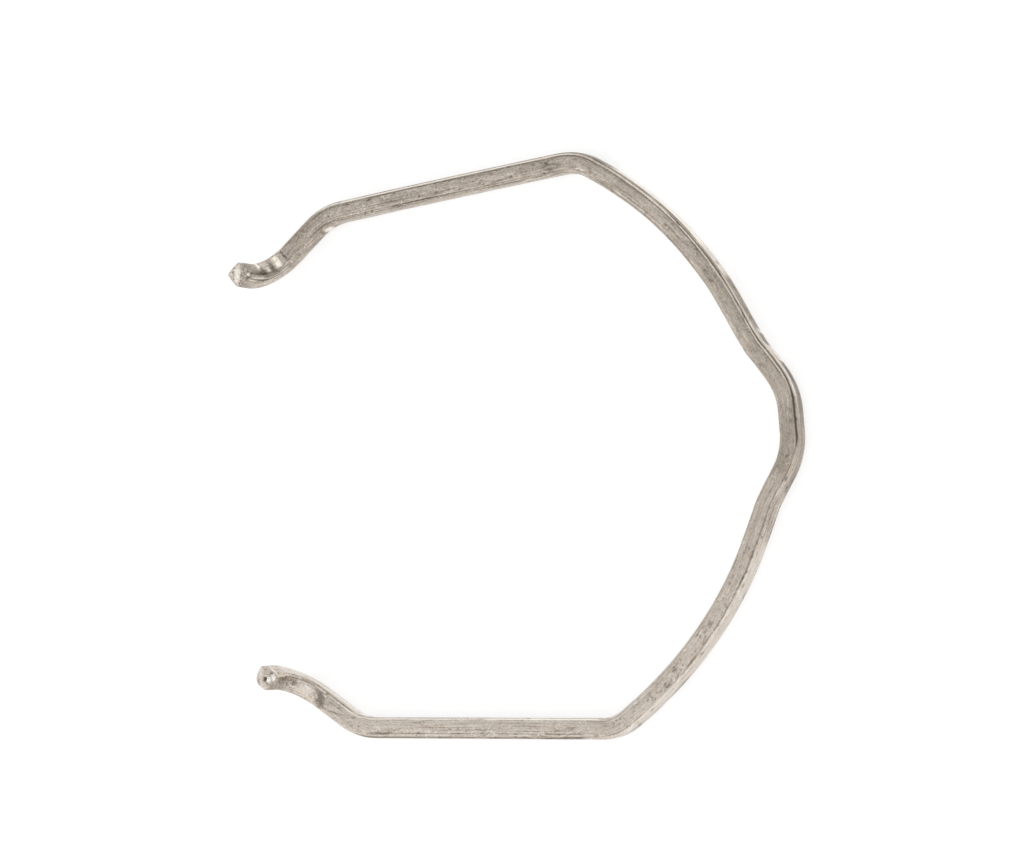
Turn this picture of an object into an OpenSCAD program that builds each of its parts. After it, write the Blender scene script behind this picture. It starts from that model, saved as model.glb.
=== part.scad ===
// Locking clip for a hose coupling.
// One square spring wire, bent to an open C: two nearly parallel legs grip the spigot, a bow joins
// them, a raised grip in the middle of the bow takes a screwdriver, and each end is turned in and
// then hooked up square to the clip's plane. The clip lies on its back, with its hooks up.

/* [Wire] */
// Side of the square wire
wire = 2.5; // [1.6:0.1:4]
// Radius of the wire's four long edges
wire_edge = 0.5; // [0.2:0.05:0.7]
// Swelling of the section on each side where the wire is bent
bend_swell = 0.01; // [0.005:0.005:0.05]

/* [Grip] */
// Straight length in the middle of the grip
grip_width = 2.5; // [1:0.1:12]
// Bend at each side of the grip, in degrees
grip_angle = 34.7; // [20:0.1:50]
// Radius of that bend, at the middle of the wire
grip_radius = 8; // [4:0.1:14]
// Straight flank from the grip down to the bow
flank_length = 3.6; // [1:0.1:10]
// Bend back from the flank into the bow, in degrees
return_angle = 9.9; // [4:0.1:20]
// Radius of the bend back
return_radius = 4; // [3:0.1:12]

/* [Bow] */
// Straight lead from the grip's flank to the curve
bow_lead = 2.7; // [0.5:0.1:10]
// Radius of the curve, at the middle of the wire
bow_radius = 48.5; // [30:0.5:80]
// Angle that each half of the bow turns through, in degrees
bow_angle = 32; // [20:0.1:45]
// Straight run from the curve to the shoulder
bow_tail = 0.7; // [0.3:0.1:8]

/* [Legs] */
// Bend from the bow into the leg, in degrees
shoulder_angle = 37.1; // [20:0.1:60]
// Radius of the shoulder, at the middle of the wire
shoulder_radius = 6.8; // [4:0.1:12]
// Straight length of a leg
leg_length = 29.9; // [15:0.1:50]

/* [Ends] */
// Bend that turns the end in towards the mouth, in degrees
end_angle = 33.5; // [15:0.1:50]
// Radius of that bend, at the middle of the wire
end_radius = 7.6; // [4:0.1:12]
// Straight run from that bend to the hook
end_run = 4.2; // [1:0.1:10]
// Bend of the hook out of the clip's plane, in degrees
hook_angle = 90; // [45:1:110]
// Radius of the hook, at the middle of the wire
hook_radius = 4.8; // [3.5:0.1:10]
// Straight length of the hook's point, up to its ridge
hook_length = 2.3; // [1.5:0.1:8]
// Slope of the two faces that the cutter pinches the point to, in degrees
pinch_slope = 12; // [0:1:30]

/* [Hidden] */
$fn = 96;
steel = [0.62, 0.59, 0.54];

// How far a straight runs into the bend at each of its ends
lap = 5 * bend_swell;

// Heading of the wire after each bend, turned from the grip's own direction
flank_heading = grip_angle;
lead_heading = flank_heading - return_angle;
tail_heading = lead_heading + bow_angle;
leg_heading = tail_heading + shoulder_angle;

// Where the wire's middle is halfway along a leg, from the middle of the grip
leg_middle = [0, grip_width / 2]
    + turned(0, flank_heading, grip_radius) + fed(flank_heading, flank_length)
    - turned(flank_heading, lead_heading, return_radius) + fed(lead_heading, bow_lead)
    + turned(lead_heading, tail_heading, bow_radius) + fed(tail_heading, bow_tail)
    + turned(tail_heading, leg_heading, shoulder_radius) + fed(leg_heading, leg_length / 2);

// The spigot's axis: it is square to both legs at their middles
spigot_x = leg_middle.x - leg_middle.y / tan(leg_heading);

// Step along a straight
function fed(heading, length) = length * [-sin(heading), cos(heading)];

// Step around a bend to the left
function turned(from, to, radius) = radius * [cos(to) - cos(from), sin(to) - sin(from)];

// The wire's section: a square with rounded corners
module section(swell = 0) {
    flat = wire - 2 * wire_edge;
    full = wire + 2 * swell;
    square([flat, full], center = true);
    square([full, flat], center = true);
    for (x = [-1, 1], y = [-1, 1])
        translate([x, y] * flat / 2)
            circle(wire_edge + swell);
}

// Straight wire along X, lapped into the bends at both ends
module straight(length) {
    translate([-lap, 0, 0])
        rotate([90, 0, 90])
            linear_extrude(length + 2 * lap)
                section();
}

// Feeds a straight length; what follows goes on from its end
module feed(length) {
    straight(length);
    translate([length, 0, 0])
        children();
}

// Bends the wire to its left; what follows goes on from the end of the bend
module bend(angle, radius) {
    translate([0, radius, 0]) {
        rotate([0, 0, -90])
            rotate_extrude(angle = angle)
                translate([radius, 0])
                    section(bend_swell);
        rotate([0, 0, angle])
            translate([0, -radius, 0])
                children();
    }
}

// Bends the wire to its right
module bend_back(angle, radius) {
    mirror([0, 1, 0])
        bend(angle, radius)
            mirror([0, 1, 0])
                children();
}

// Bends the wire up, out of the clip's plane
module bend_up(angle, radius) {
    rotate([90, 0, 0])
        bend(angle, radius)
            children();
}

// Last straight of the wire, pinched to a low ridge across the section's diagonal
module pinched_point(length) {
    reach = wire;
    fall = reach * tan(pinch_slope);
    intersection() {
        straight(length);
        rotate([45, 0, 0])
            rotate([90, 0, 0])
                linear_extrude(2 * reach, center = true)
                    polygon([
                        [-length, -reach], [length - fall, -reach], [length, 0],
                        [length - fall, reach], [-length, reach]
                    ]);
    }
}

// Half of the clip, from the end of the grip's straight to the point of the hook
module half() {
    bend(grip_angle, grip_radius)
    feed(flank_length)
    bend_back(return_angle, return_radius)
    feed(bow_lead)
    bend(bow_angle, bow_radius)
    feed(bow_tail)
    bend(shoulder_angle, shoulder_radius)
    feed(leg_length)
    bend(end_angle, end_radius)
    feed(end_run)
    bend_up(hook_angle, hook_radius)
    pinched_point(hook_length);
}

// The whole wire, with the spigot's axis on Z and the wire's back on Z = 0
module clip() {
    color(steel)
        translate([-spigot_x, 0, wire / 2]) {
            translate([0, -grip_width / 2, 0])
                rotate([0, 0, 90])
                    straight(grip_width);
            for (side = [0, 1])
                mirror([0, side, 0])
                    translate([0, grip_width / 2, 0])
                        rotate([0, 0, 90])
                            half();
        }
}

clip();
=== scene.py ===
import math
import bpy
import numpy as np
from mathutils import Matrix, Vector


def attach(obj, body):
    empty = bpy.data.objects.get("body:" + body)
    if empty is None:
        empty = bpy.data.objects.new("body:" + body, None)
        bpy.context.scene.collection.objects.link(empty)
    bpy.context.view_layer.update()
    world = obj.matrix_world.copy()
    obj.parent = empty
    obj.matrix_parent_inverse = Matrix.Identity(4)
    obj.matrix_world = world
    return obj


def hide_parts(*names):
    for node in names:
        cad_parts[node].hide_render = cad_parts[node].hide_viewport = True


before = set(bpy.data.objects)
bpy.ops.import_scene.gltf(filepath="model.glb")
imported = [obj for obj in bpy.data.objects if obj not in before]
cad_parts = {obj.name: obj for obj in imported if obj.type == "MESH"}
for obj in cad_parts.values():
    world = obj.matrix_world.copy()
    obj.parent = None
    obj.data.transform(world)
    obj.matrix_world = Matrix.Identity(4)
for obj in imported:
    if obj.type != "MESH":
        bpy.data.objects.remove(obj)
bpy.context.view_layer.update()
scene = bpy.context.scene
scene.view_settings.view_transform = "Standard"
mm = 0.001
print("frame loaded:", sorted(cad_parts))

# Camera: the clip lies flat, so the shot looks down on it
shot = {
    "lookAt": (0.01194, 0.00177, 0.01578),
    "azimuth": -9.806,
    "elevation": 62.44,
    "roll": -85.324,
    "distance": 0.480,
    "lens": 145.175,
}


def addCamera(v):
    az, el, roll = (math.radians(v[k]) for k in ("azimuth", "elevation", "roll"))
    back = Vector((math.cos(el) * math.cos(az), math.cos(el) * math.sin(az), math.sin(el)))
    level = (Vector((0, 0, 1)) - back * back.z).normalized()
    up = level * math.cos(roll) + back.cross(level) * math.sin(roll)
    right = up.cross(back)
    data = bpy.data.cameras.new("shotCamera")
    data.sensor_fit = "HORIZONTAL"
    data.sensor_width = 36.0
    data.lens = v["lens"]
    data.clip_start = 0.01
    data.clip_end = 20.0
    cam = bpy.data.objects.new("shotCamera", data)
    scene.collection.objects.link(cam)
    place = Vector(v["lookAt"]) + back * v["distance"]
    turn = Matrix((right, up, back)).transposed().to_4x4()
    cam.matrix_world = Matrix.Translation(place) @ turn
    scene.camera = cam


addCamera(shot)
print("camera set")

# The clip is one square wire, in mm. "run" is the length along it from the middle of the grip,
# negative on the -Y half. "turn" is the length round it from the middle of the back, by the outer
# wall, the front and the inner wall. A tone makes the steel lighter or darker, for marks and wear and for
# painted light and shade.
wire = {
    "side": 2.5, "edge": 0.5,
    "gripHalf": 1.25, "gripAngle": 34.7, "gripRadius": 8.0, "flank": 3.6,
    "returnAngle": 9.9, "returnRadius": 4.0,
    "bowLead": 2.7, "bowAngle": 32.0, "bowRadius": 48.5, "bowTail": 0.7,
    "shoulderAngle": 37.1, "shoulderRadius": 6.8, "leg": 29.9,
    "endAngle": 33.5, "endRadius": 7.6, "endRun": 4.2,
    "hookAngle": 90.0, "hookRadius": 4.8, "hookPoint": 2.3,
    # mesh: steps along, cuts of each wall and of the rounded edge after it, rings on the cut ends
    "legStep": 0.155, "hookStep": 0.09, "capRings": 14, "sharpAngle": 38.0,
    "cuts": {"back": (6, 6), "outer": (9, 12), "front": (12, 10), "inner": (8, 6)},
    # how far the bent wire lies outside the drawn path: (run, distance)
    "sway": [
        (-94, 0.12), (-90, 0.08), (-85, 0.0), (-62, 0.01), (-58, 0.03), (-50, 0.05), (-46, 0.03),
        (-43.3, 0.10), (-40, 0.05), (-36, 0.03), (-31, 0.05), (-23, 0.11), (-19, 0.10), (-15, 0.03),
        (-10, 0.07), (-7, 0.02), (-1, 0.06), (5, 0.02), (8, 0.06), (14.3, -0.17), (20, -0.01),
        (30, 0.09), (37, 0.04), (41, 0.02), (45, -0.12), (51, -0.08), (60, -0.045), (68, -0.055),
        (76, -0.09), (82, -0.03), (88, -0.12), (93, 0.0),
    ],
    # flats crowned from the corners on, and corners worn and shiny over a width
    "crown": 0.016, "crownFrom": 0.39, "crownRun": 0.75,
    "wear": 0.045, "wearWidth": 0.35, "shine": 0.5, "shineWidth": 0.16,
    # unevenness of drawn wire: height, and size of its cells along and round
    "uneven": [(0.0045, 12.0, 0.17), (0.006, 2.4, 1.1), (0.005, 0.5, 0.36)],
    # strewn at random: least half sizes and what a big one adds, spread of the lean in radians, depth,
    # and least darkness and what it can gain
    "specks": {"count": 560, "long": (0.10, 0.26), "wide": (0.08, 0.12), "lean": 0.25,
               "depth": 0.03, "shallow": 0.4, "tone": (0.20, 0.45)},
    "pits": {"long": (0.08, 0.16), "wide": (0.06, 0.04), "lean": 0.7, "depth": 0.03, "tone": (0.16, 0.28)},
    # scratches: light ones lie askew and dark ones nearly along the wire, by spread of the lean, and tone
    "scratches": {"count": 190, "long": (0.4, 2.2), "wide": 0.07, "depth": 0.006,
                  "lightShare": 0.6, "light": (0.45, 0.32), "dark": (0.12, -0.35)},
    # where the pits gather: limits in run, limits in turn, count
    "pitted": [
        (-37, -32, 3.9, 5.3, 24), (-43, -22, 3.9, 5.3, 40), (-80, 76, 3.9, 5.3, 40),
        (91, 93.5, 3.8, 5.4, 14), (-26, -13, 3.3, 3.9, 18),
    ],
    # how strongly the steel's own texture shows: (distance from the grip, share)
    "scuff": [(0, 0.58), (12, 0.66), (40, 0.76), (47, 0.92), (94, 1.0)],
    # first seed of each random field; the second layer of patches starts 100 later
    "seeds": {"uneven": 8, "patches": 47, "wander": 67, "breaks": 197, "ragged": 18, "strokes": 12,
              "torn": 16},
    # lines: how far they wander off their path, run over which they fade out, and where they break
    "wander": 0.025, "wanderCell": 4.0, "lineFade": 1.5,
    "breakCell": 1.6, "breakFrom": 0.45, "breakSoft": 0.25,
    # lines along the wire: dark die lines, grooved and darkened with painted shade, and bright lines that
    # are painted highlights along the edges: (run, turn) along each, half width, tone, depth, how broken it
    # is
    "dieLinesAndHighlights": [
        # grip and bow, +Y half
        ([(-3.4, 3.58), (1, 3.60), (3, 3.48), (10, 3.50), (12.5, 3.50), (14, 3.46), (17, 3.45),
          (20, 3.48), (29, 3.47)], 0.065, -0.72, 0.020, 0.20),
        ([(-2.4, 3.44), (-0.5, 3.55), (1.2, 3.60), (2.6, 3.52), (3.4, 3.46)], 0.13, -0.95, 0.045, 0.10),
        # painted highlight along the outer front edge
        ([(5.3, 3.70), (8, 3.71), (10.5, 3.68), (13, 3.67), (17, 3.71), (20, 3.77), (24, 3.67), (36, 3.64)],
         0.05, 0.55, -0.012, 0.35),
        ([(5.3, 3.85), (10, 3.84), (14, 3.82), (19, 3.88), (24, 3.82), (33, 3.78), (45, 3.76)],
         0.055, -0.58, 0.015, 0.35),
        ([(5.3, 3.85), (7.2, 3.85)], 0.05, -0.50, 0.015, 0.00),
        ([(10.5, 3.22), (14, 3.13), (19, 3.27)], 0.08, 0.60, -0.012, 0.40),
        ([(4, 3.37), (10.5, 3.40)], 0.10, -0.60, 0.012, 0.25),
        ([(20, 5.15), (30, 5.12), (40, 5.40)], 0.06, -0.30, 0.012, 0.60),
        ([(28, 5.36), (37, 5.33)], 0.05, 0.25, -0.008, 0.50),
        ([(23, 5.58), (39, 5.52)], 0.07, -0.35, 0.010, 0.50),
        ([(4.2, 2.16), (8.2, 2.18)], 0.22, -0.62, 0.020, 0.30),
        # leg, +Y half
        ([(40, 3.34), (79, 3.30)], 0.09, -0.45, 0.010, 0.30),
        # painted highlight along the outer front edge of the leg
        ([(43, 3.58), (78, 3.60)], 0.075, 1.00, -0.012, 0.20),
        ([(44, 3.80), (56, 3.83), (78, 3.84)], 0.065, -0.62, 0.018, 0.30),
        ([(59, 5.46), (68, 5.48)], 0.08, -0.55, 0.014, 0.35),
        ([(44, 5.47), (80, 5.50)], 0.07, -0.45, 0.012, 0.45),
        ([(47, 6.10), (76, 6.10)], 0.10, 0.20, -0.008, 0.40),
        # hook, +Y half
        ([(77.5, 3.60), (91, 3.60)], 0.08, -0.18, 0.012, 0.30),
        ([(77, 7.44), (93, 7.42)], 0.08, 0.20, 0.006, 0.30),
        ([(79, 5.58), (86, 5.60)], 0.05, 0.30, -0.008, 0.50),
        ([(79, 5.94), (86, 5.94)], 0.05, -0.30, 0.010, 0.50),
        # painted highlights along the hook's inner edge and wall
        ([(85.6, 6.04), (88.5, 6.16), (90.5, 5.95), (92.6, 6.06)], 0.065, 1.00, -0.015, 0.30),
        ([(90.3, 5.42), (93, 5.48)], 0.12, 0.40, 0.000, 0.30),
        ([(85.5, 6.48), (89, 6.62), (93, 6.53)], 0.07, 0.95, -0.015, 0.40),
        ([(88, 6.96), (93.4, 6.96)], 0.07, 0.95, -0.015, 0.30),
        ([(86, 6.30), (93, 6.28)], 0.06, -0.45, 0.015, 0.30),
        ([(86, 6.80), (93.4, 6.76)], 0.06, -0.45, 0.015, 0.30),
        # bow, leg and hook of the -Y half
        ([(-31, 3.73), (-22, 3.79), (-12, 3.80), (-8, 3.82)], 0.075, -0.56, 0.018, 0.55),
        ([(-26, 3.74), (-9, 3.70)], 0.10, -0.24, 0.014, 0.40),
        ([(-46, 3.18), (-9, 3.18)], 0.06, -0.32, 0.010, 0.60),
        ([(-46, 2.78), (-9, 2.80)], 0.08, 0.35, -0.006, 0.50),
        ([(-46, 2.44), (-9, 2.44)], 0.07, -0.35, 0.010, 0.50),
        ([(-46, 2.02), (-9, 2.04)], 0.09, 0.30, -0.006, 0.50),
        ([(-46, 1.70), (-9, 1.74)], 0.07, -0.30, 0.010, 0.50),
        ([(-77, 3.36), (-47, 3.37)], 0.13, -0.72, 0.020, 0.30),
        ([(-77, 3.91), (-61, 3.90), (-47, 3.92)], 0.07, -0.58, 0.014, 0.35),
        ([(-78, 4.02), (-60, 4.00)], 0.06, -0.30, 0.012, 0.70),
        ([(-79, 5.55), (-46, 5.56)], 0.065, -0.45, 0.012, 0.35),
        # painted highlight along the inner edge
        ([(-60, 5.74), (-45, 5.76)], 0.10, 1.40, -0.010, 0.20),
        ([(-77, 5.73), (-61, 5.73)], 0.09, 0.70, -0.010, 0.40),
        ([(-79, 5.20), (-46, 5.24)], 0.06, -0.24, 0.010, 0.70),
        ([(-92, 5.55), (-88, 5.58), (-80, 5.52)], 0.07, -0.50, 0.018, 0.15),
        ([(-86, 5.68), (-75, 5.66)], 0.06, 0.30, -0.008, 0.30),
        ([(-90, 6.00), (-75, 5.95)], 0.08, -0.50, 0.016, 0.30),
        ([(-46, 3.70), (-30, 3.73)], 0.07, -0.32, 0.014, 0.55),
        # both edges of the back
        ([(-80, 0.95), (80, 0.95)], 0.06, -0.60, 0.016, 0.75),
        ([(-80, 1.32), (80, 1.32)], 0.06, -0.60, 0.016, 0.75),
        ([(-80, 7.80), (80, 7.80)], 0.06, -0.60, 0.016, 0.75),
        ([(-80, 8.20), (80, 8.20)], 0.06, -0.60, 0.016, 0.75),
        # fainter lines beside the others
        ([(-7.5, 3.78), (-3, 3.68)], 0.09, -0.40, 0.012, 0.20),
        ([(9, 3.52), (12.5, 3.50), (14, 3.48), (16, 3.48)], 0.12, -0.40, 0.012, 0.30),
        ([(35.5, 3.80), (44, 3.82)], 0.07, -0.35, 0.012, 0.30),
        ([(-88.5, 5.36), (-83.6, 5.26)], 0.14, -0.40, 0.012, 0.10),
        ([(47, 5.72), (78, 5.74)], 0.06, -0.30, 0.010, 0.40),
    ],
    # patches within the bands: share, and size of the cells along and round
    "patches": [(0.6, 1.6, 0.45), (0.7, 5.0, 0.28)],
    # broad bands of painted light and shade, some glossier: limits in turn, limits in run, softness of
    # both, tone, gloss, and how patchy it is
    "paintedLightBands": [
        # outer wall: painted reflections, light where it catches the light and dark stripes beside them
        ((3.04, 3.46), (24.5, 41.0), (0.20, 3.0), -0.36, 0.2, 0.4),
        ((3.16, 3.56), (18.5, 24.5), (0.16, 2.0), -0.34, 0.2, 0.4),
        ((1.00, 3.04), (19.4, 23.8), (0.24, 1.5), 0.50, 0.3, 0.4),
        ((1.00, 3.04), (23.8, 38.0), (0.24, 1.5), 0.92, 0.3, 0.3),
        ((2.95, 3.45), (27.5, 31.0), (0.20, 1.5), -0.22, 0.2, 0.4),
        ((1.00, 3.30), (38.8, 43.0), (0.30, 1.2), -0.34, 0.0, 0.4),
        ((1.70, 3.10), (11.8, 18.8), (0.30, 1.5), -0.36, 0.0, 0.5),
        ((2.72, 3.26), (2.6, 10.2), (0.16, 1.2), 0.24, 0.2, 1.3),
        ((2.90, 3.58), (-45.0, -16.0), (0.24, 7.0), 0.26, 0.2, 0.5),
        ((1.00, 2.90), (-46.0, -13.0), (0.30, 7.0), 0.22, 0.2, 0.8),
        ((1.00, 2.75), (-8.0, 7.0), (0.40, 3.0), -0.28, 0.0, 0.6),
        ((1.40, 2.70), (-14.5, -11.5), (0.40, 1.5), -0.20, 0.0, 0.5),
        ((2.75, 3.60), (-12.0, 3.0), (0.30, 3.0), -0.16, 0.0, 0.6),
        # front: painted light and shade, lighter on the -Y leg and bow, darker on the grip, the +Y half and
        # the hooks
        ((3.80, 5.90), (-15.0, -6.0), (0.40, 5.0), -0.06, 0.0, 0.2),
        ((3.80, 5.90), (-6.5, 2.5), (0.40, 3.0), -0.22, 0.0, 0.2),
        ((3.85, 6.00), (3.5, 21.0), (0.30, 3.0), -0.13, 0.0, 0.3),
        ((3.80, 6.00), (19.0, 38.0), (0.30, 3.0), -0.07, 0.0, 0.4),
        ((5.40, 5.95), (22.0, 42.0), (0.30, 3.0), -0.15, 0.0, 0.4),
        ((5.10, 5.65), (-79.0, -46.0), (0.20, 4.0), 0.12, 0.0, 0.4),
        ((3.75, 5.60), (44.0, 83.0), (0.30, 4.0), -0.07, 0.0, 0.4),
        ((3.75, 5.60), (77.5, 83.0), (0.30, 2.0), -0.13, 0.0, 0.4),
        ((3.75, 6.00), (-80.0, -46.0), (0.30, 6.0), 0.07, 0.0, 0.4),
        ((3.85, 6.00), (-42.5, -26.0), (0.30, 2.0), 0.06, 0.0, 0.4),
        ((3.60, 5.40), (-95.0, -90.5), (0.40, 1.5), -0.27, 0.0, 0.2),
        ((3.75, 5.60), (82.5, 85.6), (0.30, 1.0), -0.12, 0.0, 0.4),
        ((4.90, 5.45), (87.6, 91.0), (0.35, 0.8), -0.32, 0.2, 0.3),
        ((3.60, 5.60), (91.2, 95.0), (0.40, 0.8), -0.22, 0.0, 0.8),
        # inner wall and its edge: painted reflections, pale where the wall catches the light, and painted
        # shade
        ((5.50, 8.20), (76.0, 95.0), (0.30, 3.0), -0.26, 0.0, 0.5),
        ((6.80, 8.20), (82.5, 91.0), (0.50, 3.0), 0.24, 0.1, 0.4),
        ((6.15, 8.00), (-91.0, -76.0), (0.30, 3.0), 0.46, 0.2, 0.5),
        ((6.50, 8.00), (-84.0, -76.5), (0.40, 2.0), 0.15, 0.2, 0.5),
        ((5.48, 6.45), (44.0, 76.0), (0.45, 3.0), -0.13, 0.0, 0.3),
        ((5.48, 6.35), (44.0, 55.0), (0.45, 3.0), -0.09, 0.0, 0.3),
        ((5.75, 6.60), (78.0, 85.0), (0.30, 2.0), 0.13, 0.0, 0.4),
        ((5.15, 7.60), (-44.0, -40.5), (0.25, 1.0), 0.28, 0.2, 0.4),
        ((5.00, 5.60), (-40.5, -36.0), (0.20, 1.0), 0.26, 0.2, 0.4),
    ],
    # how ragged the marks' outlines are, cells along and round that shift them in run and in turn, and
    # how much of the tone below them the marks cover
    "ragged": 0.14, "raggedCells": [(0.45, 0.35), (0.5, 0.4)], "markCover": 0.4,
    # marks of the forming tools and knocks, dark specks, and painted highlights, glints and reflections:
    # run, turn, half sizes along and round, height, tone, gloss, and how firm the outline is
    "marksAndPaintedLight": [
        # bow, shoulder, leg and end bend of the +Y half
        (42.0, 5.26, 1.00, 0.22, -0.030, -0.40, 0.0, 2),
        # painted glints on the shoulder's inner edge
        (41.5, 5.16, 0.42, 0.07, 0.050, 1.20, 0.6, 4),
        (42.3, 5.24, 0.40, 0.07, 0.050, 1.20, 0.6, 4),
        (46.7, 4.16, 0.36, 0.10, -0.030, -0.70, 0.0, 2),
        (46.5, 4.42, 0.24, 0.13, -0.030, -0.75, 0.0, 2),
        (47.1, 4.60, 0.28, 0.08, -0.020, -0.50, 0.0, 2),
        (46.2, 5.10, 0.45, 0.13, -0.020, -0.60, 0.0, 2),
        (49.7, 4.80, 0.60, 0.08, -0.020, -0.55, 0.0, 2),
        # a painted glint
        (77.2, 4.55, 0.24, 0.12, 0.010, 0.60, 0.3, 2),
        # a burr, with a painted highlight on it
        (78.0, 6.92, 0.70, 0.74, 0.080, 1.05, 0.6, 4),
        (79.1, 6.40, 0.32, 0.50, -0.040, -0.50, 0.0, 2),
        (23.4, 4.02, 0.25, 0.08, -0.020, -0.45, 0.0, 2),
        (24.6, 4.42, 0.12, 0.08, -0.020, -0.50, 0.0, 2),
        (27.7, 3.92, 0.25, 0.08, -0.020, -0.55, 0.0, 2),
        (58.3, 5.15, 0.40, 0.10, -0.020, -0.40, 0.0, 2),
        (67.3, 4.06, 0.60, 0.07, -0.020, -0.40, 0.0, 2),
        (71.1, 4.02, 0.28, 0.12, -0.020, -0.60, 0.0, 2),
        (72.8, 5.20, 0.50, 0.10, -0.020, -0.42, 0.0, 2),
        (68.9, 4.12, 0.30, 0.10, -0.020, -0.38, 0.0, 2),
        (59.6, 4.92, 0.50, 0.10, -0.020, -0.40, 0.0, 2),
        # grip, its flank with a chip under painted highlights and painted shade, and the start of the bow
        (1.2, 4.02, 0.20, 0.08, -0.020, -0.42, 0.0, 2),
        (1.4, 4.25, 0.22, 0.09, -0.020, -0.50, 0.0, 2),
        (9.7, 4.62, 0.45, 0.06, -0.020, -0.45, 0.0, 2),
        (20.9, 4.55, 0.25, 0.10, -0.020, -0.45, 0.0, 2),
        (8.6, 2.75, 0.75, 0.30, 0.030, 0.35, 0.3, 2),
        (7.95, 1.80, 1.15, 0.42, -0.100, 1.20, 0.5, 6),
        (10.25, 2.02, 1.05, 0.55, -0.040, -0.42, 0.0, 6),
        (11.55, 1.70, 0.22, 0.50, -0.090, 0.90, 0.4, 4),
        (14.3, 2.60, 0.35, 0.40, -0.010, -0.30, 0.0, 2),
        (21.0, 2.20, 0.30, 0.70, -0.020, -0.45, 0.0, 2),
        # bow and leg of the -Y half
        (-41.0, 1.80, 1.20, 0.35, -0.010, -0.40, 0.0, 2),
        (-33.6, 1.85, 1.60, 0.40, -0.010, -0.40, 0.0, 2),
        (-34.6, 4.02, 0.70, 0.11, -0.020, -0.50, 0.0, 2),
        (-34.9, 4.34, 0.35, 0.10, -0.020, -0.45, 0.0, 2),
        (-33.8, 4.20, 0.35, 0.12, -0.020, -0.45, 0.0, 2),
        (-32.2, 4.00, 0.35, 0.10, -0.020, -0.45, 0.0, 2),
        (-31.3, 4.80, 0.30, 0.12, -0.020, -0.45, 0.0, 2),
        (-50.4, 4.40, 0.45, 0.12, -0.020, -0.38, 0.0, 2),
        (-72.2, 4.27, 0.50, 0.10, -0.020, -0.36, 0.0, 2),
        (-32.7, 4.76, 0.35, 0.12, -0.020, -0.40, 0.0, 2),
        (-27.8, 3.95, 0.40, 0.12, -0.020, -0.55, 0.0, 2),
        (-25.7, 4.55, 0.25, 0.12, -0.020, -0.40, 0.0, 2),
        (-74.6, 3.95, 0.90, 0.16, -0.030, -0.60, 0.0, 2),
        (-73.4, 4.05, 0.60, 0.14, -0.030, -0.60, 0.0, 2),
        (-48.8, 4.60, 0.90, 0.22, -0.020, -0.35, 0.0, 2),
        # hook of the +Y half: painted reflections of the bend, light and dark patches, and a painted glint
        # at 90.2
        (84.95, 4.42, 0.17, 0.72, -0.020, -0.70, 0.0, 2),
        (85.4, 4.55, 0.35, 0.60, 0.000, 0.14, 0.2, 2),
        (86.4, 4.56, 0.68, 0.86, -0.050, 0.30, 0.3, 6),
        (86.7, 5.12, 0.40, 0.34, 0.000, 0.34, 0.1, 4),
        (87.75, 4.65, 0.40, 0.82, 0.030, -0.66, 0.3, 2),
        (87.3, 5.70, 0.42, 0.36, 0.000, -0.42, 0.0, 2),
        (89.0, 5.80, 0.70, 0.26, 0.000, -0.38, 0.0, 2),
        (84.6, 5.55, 0.35, 0.20, 0.000, -0.35, 0.0, 2),
        (88.2, 1.90, 0.60, 0.50, 0.000, -0.35, 0.0, 2),
        (88.65, 4.50, 0.42, 0.72, -0.030, 0.10, 0.3, 4),
        (88.5, 5.05, 0.28, 0.18, 0.000, 0.45, 0.3, 4),
        (89.65, 4.78, 0.32, 0.62, 0.000, -0.52, 0.1, 2),
        (90.2, 5.26, 0.90, 0.34, 0.000, -0.58, 0.1, 2),
        (91.5, 5.42, 0.80, 0.22, 0.000, -0.36, 0.1, 2),
        (93.5, 1.14, 0.60, 0.22, 0.150, 0.10, 0.2, 2),
        (90.2, 4.08, 0.28, 0.40, 0.030, 1.80, 1.0, 6),
        # hook of the -Y half: painted reflections of the bend, a light patch, dark patches and painted
        # glints
        (-86.8, 4.60, 1.75, 0.90, -0.050, 0.14, 0.4, 6),
        (-83.45, 4.58, 0.66, 0.80, -0.030, -0.52, 0.2, 4),
        (-84.3, 5.12, 0.55, 0.28, -0.020, -0.42, 0.1, 2),
        (-83.3, 5.30, 0.32, 0.09, 0.010, 0.80, 0.4, 4),
        (-88.75, 4.92, 0.85, 0.40, -0.020, -0.66, 0.2, 2),
        (-90.0, 4.60, 0.22, 0.42, -0.020, -0.55, 0.2, 2),
        (-93.3, 5.20, 0.45, 0.35, 0.000, 0.75, 0.4, 2),
        (-92.5, 7.40, 0.60, 0.40, 0.000, 0.50, 0.3, 2),
        (-87.0, 6.40, 0.70, 0.25, 0.000, -0.35, 0.0, 2),
        (-93.2, 6.45, 0.22, 0.60, 0.020, 0.75, 0.4, 4),
        (-91.8, 5.55, 1.30, 0.11, 0.020, 0.45, 0.4, 4),
        (-77.7, 7.20, 0.45, 0.70, 0.020, 0.90, 0.5, 4),
    ],
    # the cutter draws the end in by a share over a length, and tears it: relief, tone and gloss
    "tipShrink": 0.03, "tipRun": 1.2,
    "tornRelief": 0.010, "tornTone": 0.12, "tornGloss": 0.3, "ridgeWidth": 0.02,
    # cut ends, 1 on the +Y half and -1 on the other: how far the pinched ridge lies off the diagonal,
    # slope and tone of its outer and inner faces, the tones being painted light and shade on the two faces,
    # and spots, the light ones painted glints and the dark ones painted shade in torn pits: outward and
    # front on the section, size, depth, tone
    "ends": {
        1: {"ridge": 0.16, "slopes": (5.0, 17.0), "tones": (0.16, -0.12), "spots": [
            (0.46, 0.25, 0.42, 0.00, 0.60),
            (0.08, -0.08, 0.38, 0.00, 0.60),
            (-0.21, -0.49, 0.42, 0.00, 0.38),
            (0.88, -0.39, 0.15, 0.03, -0.50),
            (1.06, 0.05, 0.14, 0.03, -0.60),
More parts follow.
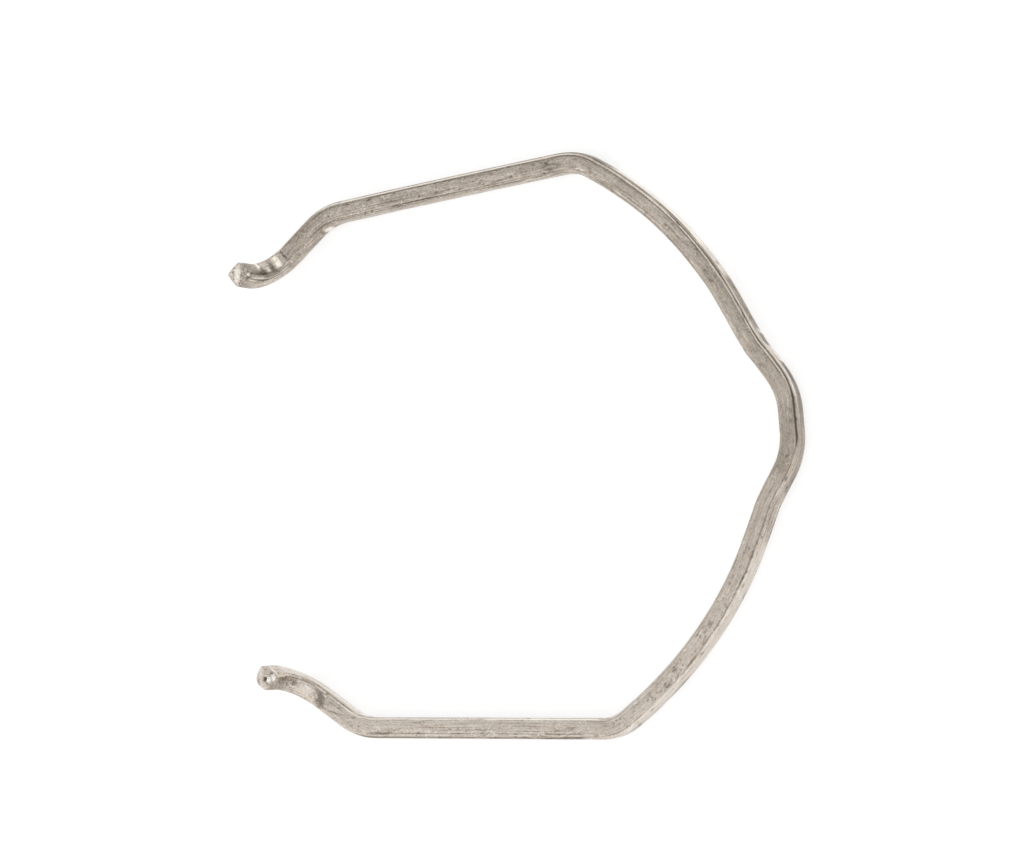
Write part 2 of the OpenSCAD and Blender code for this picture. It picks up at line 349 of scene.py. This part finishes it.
            (0.14, -0.85, 0.15, 0.03, -0.50),
            (0.84, 0.00, 0.12, -0.03, 0.60),
            (0.70, -0.72, 0.14, -0.03, 0.50),
            (0.42, -0.60, 0.14, 0.02, -0.35),
            (-0.78, 0.88, 0.17, -0.06, 1.30),
            (-0.98, 0.55, 0.18, 0.06, -0.60),
            (-0.50, 1.05, 0.15, 0.06, -0.50),
            (-0.25, 0.18, 0.18, 0.00, -0.35),
        ]},
        -1: {"ridge": 0.0, "slopes": (12.0, 12.0), "tones": (0.10, 0.12), "spots": [
            (0.12, 0.02, 0.30, 0.25, -0.95),
            (-0.15, 0.50, 0.28, -0.06, 1.20),
            (-0.80, 0.85, 0.26, -0.06, 0.90),
            (-0.55, 1.10, 0.22, -0.04, 1.10),
            (-0.95, 0.30, 0.20, 0.05, -0.40),
            (0.95, -0.95, 0.50, 0.25, -0.12),
        ]},
    },
}


# How the wire is fed and bent, from the middle of the grip to a point: name, kind, length or angle, radius
def formingSteps(w):
    return [
        ("grip", "feed", w["gripHalf"], 0), ("gripBend", "bend", w["gripAngle"], w["gripRadius"]),
        ("flank", "feed", w["flank"], 0), ("return", "bend", -w["returnAngle"], w["returnRadius"]),
        ("lead", "feed", w["bowLead"], 0), ("bow", "bend", w["bowAngle"], w["bowRadius"]),
        ("tail", "feed", w["bowTail"], 0), ("shoulder", "bend", w["shoulderAngle"], w["shoulderRadius"]),
        ("leg", "feed", w["leg"], 0), ("endBend", "bend", w["endAngle"], w["endRadius"]),
        ("endRun", "feed", w["endRun"], 0), ("hook", "lift", w["hookAngle"], w["hookRadius"]),
        ("point", "feed", w["hookPoint"], 0),
    ]


# Where each step starts and ends along the wire
def stepPlaces(w):
    places, start = {}, 0.0
    for name, kind, amount, radius in formingSteps(w):
        length = amount if kind == "feed" else math.radians(abs(amount)) * radius
        places[name] = (start, start + length)
        start += length
    return places


places = stepPlaces(wire)
wireEnd = places["point"][1]


# Place, heading, inward and front directions at given lengths from the grip
def traceHalf(w, runs):
    out = np.zeros((4, len(runs), 3))
    place = np.zeros(3)
    ahead, inward, front = np.array([0, 1.0, 0]), np.array([-1.0, 0, 0]), np.array([0, 0, 1.0])
    for name, kind, amount, radius in formingSteps(w):
        start, stop = places[name]
        here = (runs >= start - 1e-9) & (runs <= stop + 1e-9)
        d = (runs[here] - start)[:, None]
        if kind == "feed":
            out[0, here] = place + d * ahead
            out[1, here], out[2, here], out[3, here] = ahead, inward, front
            place = place + amount * ahead
        else:
            sign = 1.0 if amount > 0 else -1.0
            side = front if kind == "lift" else inward
            middle = place + sign * radius * side
            co, si = np.cos(d / radius), np.sin(d / radius)
            turned = co * side - sign * si * ahead
            out[0, here] = middle - sign * radius * turned
            out[1, here] = co * ahead + sign * si * side
            out[2, here] = inward if kind == "lift" else turned
            out[3, here] = turned if kind == "lift" else front
            a = math.radians(abs(amount))
            newSide = math.cos(a) * side - sign * math.sin(a) * ahead
            ahead = math.cos(a) * ahead + sign * math.sin(a) * side
            place = middle - sign * radius * newSide
            if kind == "lift":
                front = newSide
            else:
                inward = newSide
    return out


# The neck's axis is square to the middle of a leg
def neckPlace(w):
    p, t = traceHalf(w, np.array([sum(places["leg"]) / 2]))[:2, 0]
    return p[0] + p[1] * t[1] / t[0]


neckX = neckPlace(wire)


# The same along the whole wire, round the neck's axis: place, heading, outward and front
def traceWire(w, runs):
    p, t, i, f = traceHalf(w, np.abs(runs))
    flip = np.where(runs < 0, -1.0, 1.0)
    for a in (p, t, i, f):
        a[:, 1] *= flip
    p = p + np.array([-neckX, 0, w["side"] / 2])
    return p, t, -i, f


# Points round the section (outward, front), their normals and their turn
def sectionRing(w):
    half, edge = w["side"] / 2, w["edge"]
    flat = half - edge
    points, normals, turns = [], [], []
    turn = -flat
    for k, wall in enumerate(("back", "outer", "front", "inner")):
        a = math.radians(90 * k - 90)
        n = np.array([math.cos(a), math.sin(a)])
        along = np.array([-n[1], n[0]])
        flatCuts, edgeCuts = w["cuts"][wall]
        for j in range(flatCuts):
            d = 2 * flat * j / flatCuts
            points.append(n * half + along * (d - flat))
            normals.append(n)
            turns.append(turn + d)
        turn += 2 * flat
        for j in range(edgeCuts):
            b = math.pi / 2 * j / edgeCuts
            m = n * math.cos(b) + along * math.sin(b)
            points.append(flat * (n + along) + edge * m)
            normals.append(m)
            turns.append(turn + edge * b)
        turn += edge * math.pi / 2
    return np.array(points), np.array(normals), np.array(turns), turn + flat


# Stations along the wire, closer together on the hooks
def stationRuns(w):
    hookFrom = places["endBend"][1]
    plain = np.linspace(0, hookFrom, int(hookFrom / w["legStep"]) + 1)
    hook = np.linspace(hookFrom, wireEnd, int((wireEnd - hookFrom) / w["hookStep"]) + 1)[1:]
    half = np.concatenate([plain, hook])
    return np.concatenate([-half[:0:-1], half])


def smooth(t):
    return t * t * (3 - 2 * t)


# Climbs from 0 to 1 round a place
def climb(value, place, soft):
    return np.clip((value - place) / soft + 0.5, 0, 1)


# 1 between two limits, with soft ends
def window(value, low, high, soft):
    return smooth(climb(value, low, soft) * climb(high, value, soft))


# Smooth path through a few knots
def easedPath(value, knots):
    at, to = np.array(knots).T
    k = np.clip(np.searchsorted(at, value) - 1, 0, len(at) - 2)
    f = smooth(np.clip((value - at[k]) / (at[k + 1] - at[k]), 0, 1))
    return to[k] * (1 - f) + to[k + 1] * f


# Smooth random field on a grid of cells; it closes on itself round the wire
def cellNoise(u, v, wrap, seed):
    iu, iv = np.floor(u).astype(int), np.floor(v).astype(int)
    fu, fv = smooth(u - iu), smooth(v - iv)
    iu = iu - iu.min()
    table = np.random.default_rng(seed).uniform(-1, 1, (iu.max() + 2, wrap))
    near = table[iu, iv % wrap] * (1 - fu) + table[iu + 1, iv % wrap] * fu
    far = table[iu, (iv + 1) % wrap] * (1 - fu) + table[iu + 1, (iv + 1) % wrap] * fu
    return near * (1 - fv) + far * fv


# The same on the wire's skin, with cells of a given size along and round
def skinNoise(skin, runCell, turnCell, seed):
    wrap = max(2, round(skin["girth"] / turnCell))
    return cellNoise(skin["run"] / runCell, skin["turn"] * wrap / skin["girth"], wrap, seed)


# The same for a line, changing along the wire alone
def lineNoise(skin, runCell, seed):
    return cellNoise(skin["run"] / runCell, 0 * skin["turn"], 2, seed)


# Distance round the wire, the short way
def turnGap(turn, place, girth):
    return (turn - place + girth / 2) % girth - girth / 2


# Relief, tone and gloss of plain drawn wire
def plainSkin(w, run, turn, girth):
    skin = {"run": run, "turn": turn, "girth": girth, "tone": np.zeros(run.shape)}
    quarter = girth / 4
    corner = np.abs(turn % quarter - quarter / 2)
    flatness = np.clip((corner - w["crownFrom"]) / w["crownRun"], 0, 1)
    worn = w["wear"] * np.exp(-(corner / w["wearWidth"]) ** 2)
    seed = w["seeds"]["uneven"]
    uneven = sum(high * skinNoise(skin, *cells, seed + n) for n, (high, *cells) in enumerate(w["uneven"]))
    skin["rise"] = w["crown"] * (1 - (1 - flatness) ** 2) - worn + uneven
    skin["gloss"] = np.exp(-(corner / w["shineWidth"]) ** 2) * w["shine"]
    return skin


def addBands(w, skin):
    for n, (turnSpan, runSpan, soft, tone, gloss, patchy) in enumerate(w["paintedLightBands"]):
        there = window(skin["turn"], *turnSpan, soft[0]) * window(skin["run"], *runSpan, soft[1])
        seed = w["seeds"]["patches"] + n
        patches = sum(share * skinNoise(skin, *cells, seed + 100 * k)
                      for k, (share, *cells) in enumerate(w["patches"]))
        there = there * (1 + patchy * patches)
        skin["tone"] += tone * there
        skin["gloss"] += gloss * there


def addLines(w, skin):
    for n, (path, wide, tone, depth, broken) in enumerate(w["dieLinesAndHighlights"]):
        runsAt, turnsAt = zip(*path)
        wander = w["wander"] * lineNoise(skin, w["wanderCell"], w["seeds"]["wander"] + n)
        place = np.interp(skin["run"], runsAt, turnsAt) + wander
        breaks = 0.5 + 0.5 * lineNoise(skin, w["breakCell"], w["seeds"]["breaks"] + n)
        whole = 1 - broken * smooth(climb(breaks, w["breakFrom"], w["breakSoft"]))
        line = np.exp(-(turnGap(skin["turn"], place, skin["girth"]) / wide) ** 2)
        line = line * window(skin["run"], runsAt[0], runsAt[-1], w["lineFade"]) * whole
        skin["rise"] -= depth * line
        skin["tone"] += tone * line


# Specks, scratches and pits: run, turn, half length, half width, lean, height and tone of each
def strewStrokes(w, girth):
    rng = np.random.default_rng(w["seeds"]["strokes"])
    strokes = []
    s = w["specks"]
    for n in range(s["count"]):
        big = rng.uniform() ** 3
        place = rng.uniform(-wireEnd, wireEnd), rng.uniform(0, girth)
        size = [least + more * big for least, more in (s["long"], s["wide"])]
        lean = rng.normal(0, s["lean"])
        tone = -(s["tone"][0] + s["tone"][1] * rng.uniform() ** 2)
        strokes.append((*place, *size, lean, -s["depth"] * (s["shallow"] + big), tone))
    s = w["scratches"]
    for n in range(s["count"]):
        lean, tone = s["light"] if rng.uniform() < s["lightShare"] else s["dark"]
        place = rng.uniform(-wireEnd, wireEnd), rng.uniform(0, girth)
        long = rng.uniform(*s["long"])
        strokes.append((*place, long, s["wide"], rng.normal(0, lean), -s["depth"], tone))
    s = w["pits"]
    for runLow, runHigh, turnLow, turnHigh, count in w["pitted"]:
        for n in range(count):
            big = rng.uniform() ** 2
            place = rng.uniform(runLow, runHigh), rng.uniform(turnLow, turnHigh)
            size = [least + more * big for least, more in (s["long"], s["wide"])]
            lean = rng.normal(0, s["lean"])
            tone = -(s["tone"][0] + s["tone"][1] * rng.uniform())
            strokes.append((*place, *size, lean, -s["depth"], tone))
    return strokes


def addStrokes(w, skin):
    run, turn, rise, tone = (skin[k].ravel() for k in ("run", "turn", "rise", "tone"))
    order = np.argsort(run, kind="stable")
    sortedRun = run[order]
    for atRun, atTurn, long, wide, lean, high, shade in strewStrokes(w, skin["girth"]):
        reach = 2.2 * (long + wide)  # a stroke has faded out there
        start, stop = np.searchsorted(sortedRun, (atRun - reach, atRun + reach))
        near = order[start:stop]
        a, b = run[near] - atRun, turnGap(turn[near], atTurn, skin["girth"])
        along = a * math.cos(lean) + b * math.sin(lean)
        across = b * math.cos(lean) - a * math.sin(lean)
        blot = np.exp(-(along / long) ** 4 - (across / wide) ** 2)
        rise[near] += high * blot
        tone[near] += shade * blot
    skin["rise"], skin["tone"] = rise.reshape(skin["run"].shape), tone.reshape(skin["run"].shape)


def addMarks(w, skin):
    seed = w["seeds"]["ragged"]
    runCells, turnCells = w["raggedCells"]
    bentRun = skin["run"] + w["ragged"] * skinNoise(skin, *runCells, seed)
    bentTurn = skin["turn"] + w["ragged"] * skinNoise(skin, *turnCells, seed + 1)
    for atRun, atTurn, long, wide, high, tone, gloss, firm in w["marksAndPaintedLight"]:
        along = np.abs(bentRun - atRun) / long
        across = np.abs(turnGap(bentTurn, atTurn, skin["girth"])) / wide
        blot = np.exp(-along ** firm - across ** firm)
        skin["rise"] += high * blot
        skin["tone"] = skin["tone"] * (1 - w["markCover"] * blot) + tone * blot
        skin["gloss"] += gloss * blot


# The whole skin: plain wire first, then the die lines, tool marks and wear, and the painted light and shade
# laid with them
def drawSkin(w, run, turn, girth):
    skin = plainSkin(w, run, turn, girth)
    addBands(w, skin)
    addLines(w, skin)
    addStrokes(w, skin)
    addMarks(w, skin)
    return skin["rise"], np.clip(skin["tone"], -1, 1), np.clip(skin["gloss"], 0, 1)


# How deep the cut end falls behind its ridge, and its tone
def endShape(e, x, z):
    outer, inner = (math.tan(math.radians(a)) for a in e["slopes"])
    side = (z - x) / math.sqrt(2) - e["ridge"]
    fall = np.where(side > 0, side * inner, -side * outer)
    tone = np.where(side > 0, e["tones"][1], e["tones"][0])
    for atX, atZ, size, depth, shade in e["spots"]:
        blot = np.exp(-(((x - atX) ** 2 + (z - atZ) ** 2) / size ** 2) ** 2)
        fall = fall + depth * blot
        tone = tone + shade * blot
    return fall, tone


# Smooth mesh with sharp ridges on the cut ends, and the fields that the steel reads
def meshWire(w, verts, faces, fields, ridges):
    mesh = bpy.data.meshes.new("springWire")
    mesh.from_pydata((np.concatenate(verts) * mm).tolist(), [], faces)
    mesh.shade_smooth()
    mesh.set_sharp_from_angle(angle=math.radians(w["sharpAngle"]))
    ridge = np.concatenate([np.ravel(v) for v in ridges]).astype(bool)
    pairs = np.zeros(len(mesh.edges) * 2, dtype=np.int32)
    mesh.edges.foreach_get("vertices", pairs)
    crease = ridge[pairs.reshape(-1, 2)].all(1)
    sharp = np.zeros(len(mesh.edges), dtype=bool)
    mesh.edges.foreach_get("use_edge_sharp", sharp)
    mesh.edges.foreach_set("use_edge_sharp", sharp | crease)
    for name, values in fields.items():
        flat = np.concatenate([np.ravel(v) for v in values]).astype(np.float32)
        mesh.attributes.new(name, "FLOAT", "POINT").data.foreach_set("value", flat)
    piece = bpy.data.objects.new("springWire", mesh)
    scene.collection.objects.link(piece)
    return piece


def buildWire(w):
    runs = stationRuns(w)
    ring, ringOut, turns, girth = sectionRing(w)
    spots, heads, outs, fronts = traceWire(w, runs)
    spots = spots + easedPath(runs, w["sway"])[:, None] * outs
    nRun, nTurn = len(runs), len(ring)
    run = np.repeat(runs[:, None], nTurn, 1)
    turn = np.repeat(turns[None, :], nRun, 0)
    rise, tone, gloss = drawSkin(w, run, turn, girth)
    # nothing stands below the back that the clip lies on
    lying = (ringOut[None, :, 1] < -0.5) & (np.abs(run) < places["hook"][1])
    rise = np.where(lying, np.minimum(rise, 0.0), rise)
    x = ring[None, :, 0] + rise * ringOut[None, :, 0]
    z = ring[None, :, 1] + rise * ringOut[None, :, 1]
    # the cutter draws the end in a little and pinches it to two slopes that meet on a diagonal
    close = np.clip((np.abs(run) - wireEnd + w["tipRun"]) / w["tipRun"], 0, 1) ** 2
    x, z = x * (1 - w["tipShrink"] * close), z * (1 - w["tipShrink"] * close)
    pointFrom, pointTo = places["point"]
    near = np.clip((np.abs(run) - pointFrom) / (pointTo - pointFrom), 0, 1) ** 3
    fall = np.where(run > 0, endShape(w["ends"][1], x, z)[0], endShape(w["ends"][-1], x, z)[0]) * near
    points = spots[:, None] + x[..., None] * outs[:, None] + z[..., None] * fronts[:, None]
    points = points - fall[..., None] * heads[:, None]
    verts = [points.reshape(-1, 3)]
    scuff = np.interp(np.abs(run), *zip(*w["scuff"]))
    skin = {"run": run, "sectionX": x, "sectionZ": z, "tone": tone, "gloss": gloss, "scuff": scuff}
    fields = {name: [values] for name, values in skin.items()}
    ridges = [np.zeros(run.shape)]
    first = np.arange(nRun - 1)[:, None] * nTurn + np.arange(nTurn)[None]
    after = np.arange(nRun - 1)[:, None] * nTurn + (np.arange(nTurn)[None] + 1) % nTurn
    faces = np.stack([first, first + nTurn, after + nTurn, after], -1).reshape(-1, 4).tolist()
    # cut ends: rings that shrink to the middle of the ridge
    count = nRun * nTurn
    rng = np.random.default_rng(w["seeds"]["torn"])
    for i, end in ((0, -1), (nRun - 1, 1)):
        start = i * nTurn
        ridges[0][i] = np.abs(x[i] - z[i]) < w["ridgeWidth"]
        for r in range(1, w["capRings"] + 1):
            size = nTurn if r < w["capRings"] else 1
            keep = 1 - r / w["capRings"]
            capX, capZ = x[i, :size] * keep, z[i, :size] * keep
            capFall, capTone = endShape(w["ends"][end], capX, capZ)
            capFall = capFall + rng.normal(0, w["tornRelief"], size)
            capTone = np.clip(capTone + rng.normal(0, w["tornTone"], size), -1, 1)
            cap = spots[i] + capX[:, None] * outs[i] + capZ[:, None] * fronts[i]
            verts.append(cap - capFall[:, None] * heads[i])
            for j in range(nTurn):
                n = (j + 1) % nTurn
                last = (count + n, count + j) if size > 1 else (count,)
                face = (start + j, start + n, *last)
                faces.append(face if end < 0 else face[::-1])
            skin = {"run": np.full(size, runs[i]), "sectionX": capX, "sectionZ": capZ, "tone": capTone,
                    "gloss": np.full(size, w["tornGloss"]), "scuff": np.ones(size)}
            for name, values in skin.items():
                fields[name].append(values)
            ridges.append(np.abs(capX - capZ) < w["ridgeWidth"] * keep + 1e-6)
            start = count
            count += size
    print("wire meshed:", nRun, "stations,", nTurn, "points round,", len(faces), "faces")
    return meshWire(w, verts, faces, fields, ridges)


springWire = buildWire(wire)

# Drawn spring steel: warm grey, streaked along the wire, with dark hairlines, specks and curly scratches
steel = {
    # colours from the darkest tone to the lightest, each with its place on the scale
    "scale": [
        (0.12, (0.12, 0.10, 0.085)), (0.36, (0.34, 0.295, 0.25)), (0.52, (0.60, 0.534, 0.468)),
        (0.66, (0.73, 0.682, 0.625)), (0.95, (0.97, 0.93, 0.875)),
    ],
    "stain": (1.0, 0.982, 0.955),
    # layers of noise: how fast each changes along and round the wire, per mm, its detail and its shift
    "layers": {
        "streak": (0.12, 7.0, 3.0, 31.0), "mottle": (0.9, 2.6, 2.0, 172.0),
        "grain": (4.6, 6.6, 3.0, 913.0), "hairline": (0.07, 11.0, 1.0, 57.0),
        "speck": (2.6, 4.2, 1.0, 611.0), "curl": (1.1, 1.5, 1.0, 740.0),
        "cluster": (0.45, 1.1, 1.0, 268.0), "stain": (0.35, 0.9, 2.0, 405.0),
    },
    # share of each in the tone
    "shares": {"streak": 0.34, "mottle": 0.22, "grain": 0.46,
               "hairline": -0.16, "speck": -0.24, "curl": 0.14},
    # where in its noise each begins and is full; specks gather in clusters, and curls keep out of them
    "edges": {"hairline": (0.60, 0.70), "speck": (0.62, 0.76), "curl": (0.012, 0.042),
              "stain": (0.42, 0.66)},
    "speckCluster": (0.44, 0.60), "speckElsewhere": 0.15, "curlCluster": (0.36, 0.47),
    "toneShare": 0.42,
    "roughness": 0.40, "streakRough": 0.25, "polish": -0.20,
    "bumpStrength": 0.35, "bumpDepth": 0.012 * mm, "bumpGrain": 0.6, "bumpStreak": 0.8,
}


def addNode(tree, kind, **settings):
    node = tree.nodes.new(kind)
    count = len(tree.nodes)
    node.location = (190 * (count // 6) - 2600, 200 * (count % 6) - 400)
    for name, value in settings.items():
        setattr(node, name, value)
    return node


def plug(tree, node, values):
    for key, value in values.items():
        if isinstance(value, bpy.types.NodeSocket):
            tree.links.new(value, node.inputs[key])
        else:
            node.inputs[key].default_value = value


def calc(tree, operation, *values, clamp=False):
    node = addNode(tree, "ShaderNodeMath", operation=operation, use_clamp=clamp)
    plug(tree, node, dict(enumerate(values)))
    return node.outputs[0]


def ease(tree, value, low, high, toLow, toHigh):
    node = addNode(tree, "ShaderNodeMapRange", interpolation_type="SMOOTHSTEP")
    plug(tree, node, {"Value": value, "From Min": low, "From Max": high, "To Min": toLow, "To Max": toHigh})
    return node.outputs["Result"]


def makeSteel(s):
    mat = bpy.data.materials.new("drawnSteel")
    mat.use_nodes = True
    tree = mat.node_tree
    shader = tree.nodes["Principled BSDF"]
    shader.inputs["Metallic"].default_value = 1.0
    names = ("run", "sectionX", "sectionZ", "tone", "gloss", "scuff")
    run, sectionX, sectionZ, tone, gloss, scuff = (
        addNode(tree, "ShaderNodeAttribute", attribute_name=n).outputs["Fac"] for n in names)

    def layer(name):
        along, across, detail, shift = s["layers"][name]
        place = addNode(tree, "ShaderNodeCombineXYZ")
        plug(tree, place, {"X": calc(tree, "MULTIPLY_ADD", run, along, shift),
                           "Y": calc(tree, "MULTIPLY", sectionX, across),
                           "Z": calc(tree, "MULTIPLY", sectionZ, across)})
        node = addNode(tree, "ShaderNodeTexNoise")
        plug(tree, node, {"Vector": place.outputs[0], "Scale": 1.0, "Detail": detail, "Roughness": 0.55})
        return node.outputs["Fac"]

    share, edges = s["shares"], s["edges"]
    streak, mottle, grain, cluster = (layer(n) for n in ("streak", "mottle", "grain", "cluster"))
    hairline = ease(tree, layer("hairline"), *edges["hairline"], 0.0, share["hairline"])
    speck = ease(tree, layer("speck"), *edges["speck"], 0.0, share["speck"])
    gathered = ease(tree, cluster, *s["speckCluster"], s["speckElsewhere"], 1.0)
    speck = calc(tree, "MULTIPLY", speck, gathered)
    # the curly scratches follow the contours of their noise
    contour = calc(tree, "ABSOLUTE", calc(tree, "SUBTRACT", layer("curl"), 0.5))
    curl = ease(tree, contour, *edges["curl"], share["curl"], 0.0)
    curl = calc(tree, "MULTIPLY", curl, ease(tree, cluster, *s["curlCluster"], 1.0, 0.0))
    # a noise is 0.5 on average, so half of the three shares is taken off
    shade = -(share["streak"] + share["mottle"] + share["grain"]) / 2
    for noise, name in ((streak, "streak"), (mottle, "mottle"), (grain, "grain")):
        shade = calc(tree, "MULTIPLY_ADD", noise, share[name], shade)
    for extra in (hairline, speck, curl):
        shade = calc(tree, "ADD", shade, extra)
    shade = calc(tree, "MULTIPLY_ADD", shade, scuff, 0.5)
    shade = calc(tree, "MULTIPLY_ADD", tone, s["toneShare"], shade)
    ramp = addNode(tree, "ShaderNodeValToRGB")
    colours = ramp.color_ramp.elements
    for n in (0, -1):
        place, colour = s["scale"][n]
        colours[n].position, colours[n].color = place, (*colour, 1)
    for place, colour in s["scale"][1:-1]:
        colours.new(place).color = (*colour, 1)
    plug(tree, ramp, {"Fac": shade})
    stain = addNode(tree, "ShaderNodeMix", data_type="RGBA", blend_type="MULTIPLY")
    plug(tree, stain, {0: ease(tree, layer("stain"), *edges["stain"], 0.0, 1.0),
                       6: ramp.outputs["Color"], 7: (*s["stain"], 1)})
    rough = calc(tree, "MULTIPLY_ADD", streak, s["streakRough"], s["roughness"] - s["streakRough"] / 2)
    rough = calc(tree, "MULTIPLY_ADD", gloss, s["polish"], rough, clamp=True)
    height = calc(tree, "MULTIPLY_ADD", grain, s["bumpGrain"], hairline)
    height = calc(tree, "MULTIPLY_ADD", streak, s["bumpStreak"], height)
    bump = addNode(tree, "ShaderNodeBump")
    plug(tree, bump, {"Strength": s["bumpStrength"], "Distance": s["bumpDepth"], "Height": height})
    plug(tree, shader, {"Base Color": stain.outputs[2], "Roughness": rough,
                        "Normal": bump.outputs["Normal"]})
    return mat


springWire.data.materials.append(makeSteel(steel))
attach(springWire, "root")
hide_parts("clip")
print("steel on the wire")

# Floor and light: a pale floor, a bright dome with a dimmer band on its +Y side, and two soft boxes
studio = {
    "floorSize": 3.0, "floorDrop": 0.02 * mm, "floorColor": 0.40, "floorGlow": 0.69,
    # light of the dome, from -Y to +Y, and where along Y the dim band begins and ends
    "nearSide": 1.12, "dimSide": 0.58, "farSide": 1.00,
    "dimFrom": (-0.14, 0.26), "dimTo": (0.40, 0.72),
    "softBoxes": [
        {"toward": (0.25, 0.70, 0.67), "spread": 9.0, "soft": 6.0, "glow": 0.9},
        {"toward": (-0.77, 0.12, 0.62), "spread": 8.0, "soft": 8.0, "glow": 0.6},
    ],
}


def addFloor(s):
    h, z = s["floorSize"] / 2, -s["floorDrop"]
    mesh = bpy.data.meshes.new("paleFloor")
    mesh.from_pydata([(-h, -h, z), (h, -h, z), (h, h, z), (-h, h, z)], [], [(0, 1, 2, 3)])
    floor = bpy.data.objects.new("paleFloor", mesh)
    scene.collection.objects.link(floor)
    mat = bpy.data.materials.new("paleFloor")
    mat.use_nodes = True
    tree = mat.node_tree
    tree.nodes.clear()
    out = addNode(tree, "ShaderNodeOutputMaterial")
    both = addNode(tree, "ShaderNodeAddShader")
    matte = addNode(tree, "ShaderNodeBsdfDiffuse")
    plug(tree, matte, {"Color": (s["floorColor"],) * 3 + (1,)})
    glow = addNode(tree, "ShaderNodeEmission")
    path = addNode(tree, "ShaderNodeLightPath").outputs
    seen = calc(tree, "MAXIMUM", path["Is Camera Ray"], path["Is Glossy Ray"])
    seen = calc(tree, "MAXIMUM", seen, path["Is Transmission Ray"])
    plug(tree, glow, {"Strength": calc(tree, "MULTIPLY", seen, s["floorGlow"])})
    tree.links.new(matte.outputs[0], both.inputs[0])
    tree.links.new(glow.outputs[0], both.inputs[1])
    tree.links.new(both.outputs[0], out.inputs["Surface"])
    mesh.materials.append(mat)


def addDome(s):
    world = bpy.data.worlds.new("studioDome")
    scene.world = world
    world.use_nodes = True
    tree = world.node_tree
    sky = tree.nodes["Background"]
    sky.inputs["Color"].default_value = (1.0, 1.0, 1.0, 1.0)
    coord = addNode(tree, "ShaderNodeTexCoord").outputs["Generated"]
    split = addNode(tree, "ShaderNodeSeparateXYZ")
    plug(tree, split, {0: coord})
    dimming = ease(tree, split.outputs["Y"], *s["dimFrom"], s["nearSide"], s["dimSide"])
    beyond = ease(tree, split.outputs["Y"], *s["dimTo"], 0.0, s["farSide"] - s["dimSide"])
    glow = calc(tree, "ADD", dimming, beyond)
    for box in s["softBoxes"]:
        aim = addNode(tree, "ShaderNodeVectorMath", operation="DOT_PRODUCT")
        plug(tree, aim, {0: coord, 1: Vector(box["toward"]).normalized()})
        wide = math.cos(math.radians(box["spread"] + box["soft"]))
        tight = math.cos(math.radians(box["spread"]))
        glow = calc(tree, "ADD", glow, ease(tree, aim.outputs["Value"], wide, tight, 0.0, box["glow"]))
    tree.links.new(glow, sky.inputs["Strength"])


addFloor(studio)
addDome(studio)
print("floor and light set")
